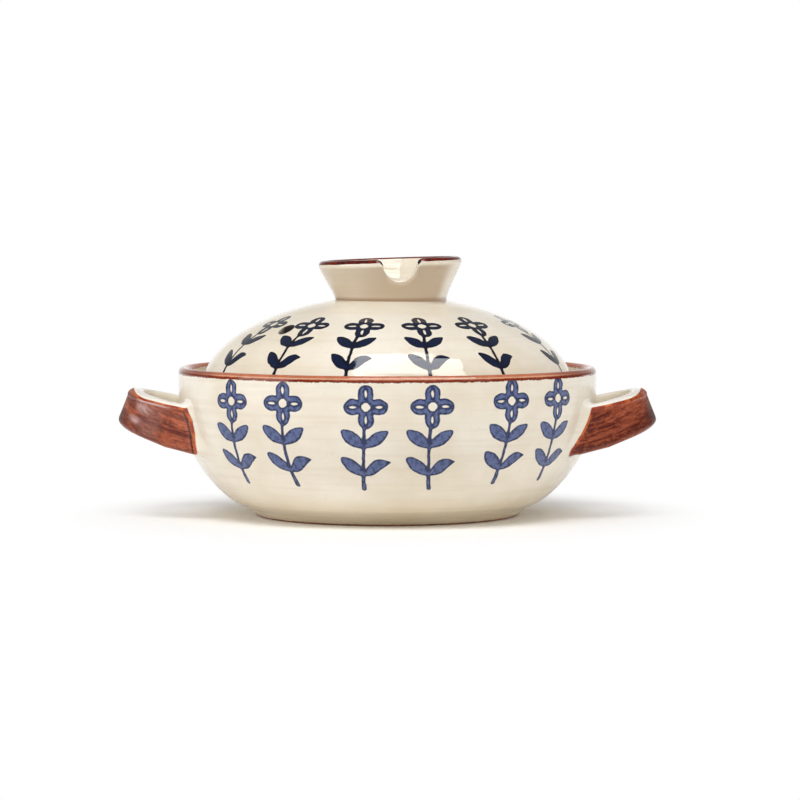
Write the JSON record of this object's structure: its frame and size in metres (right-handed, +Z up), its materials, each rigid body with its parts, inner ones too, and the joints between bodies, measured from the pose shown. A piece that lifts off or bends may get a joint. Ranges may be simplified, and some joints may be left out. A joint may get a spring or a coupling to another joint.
{
  "type": "lidded clay pot",
  "caption": "Wide glazed clay pot with two ear handles and a domed lid with a cup-shaped grip and a steam hole.",
  "frame": {"origin": "on the pot's axis, in the plane that it stands on", "axes": "+Z up along the pot's axis, +X towards the right handle, -Y towards the side that faces the viewer"},
  "size_m": [0.277, 0.215, 0.1332],
  "materials": {
    "cream_glaze": "glossy cream glaze with blue painted sprigs, brown at the lips",
    "brown_glaze": "glossy streaked iron-brown glaze, cream on the inner face and the upper edge",
    "bare_clay": "matt unglazed fired clay"
  },
  "bodies": {
    "pot": {"pot_bowl": "cream_glaze", "foot_ring": "bare_clay", "left_handle": "brown_glaze", "right_handle": "brown_glaze"},
    "lid": {"lid_dome": "cream_glaze", "lid_grip": "cream_glaze"}
  },
  "joints": [
    {"name": "lid_lift", "type": "slide", "parent": "pot", "child": "lid", "axis": [0, 0, 1], "range_m": [0, 0.15]}
  ]
}
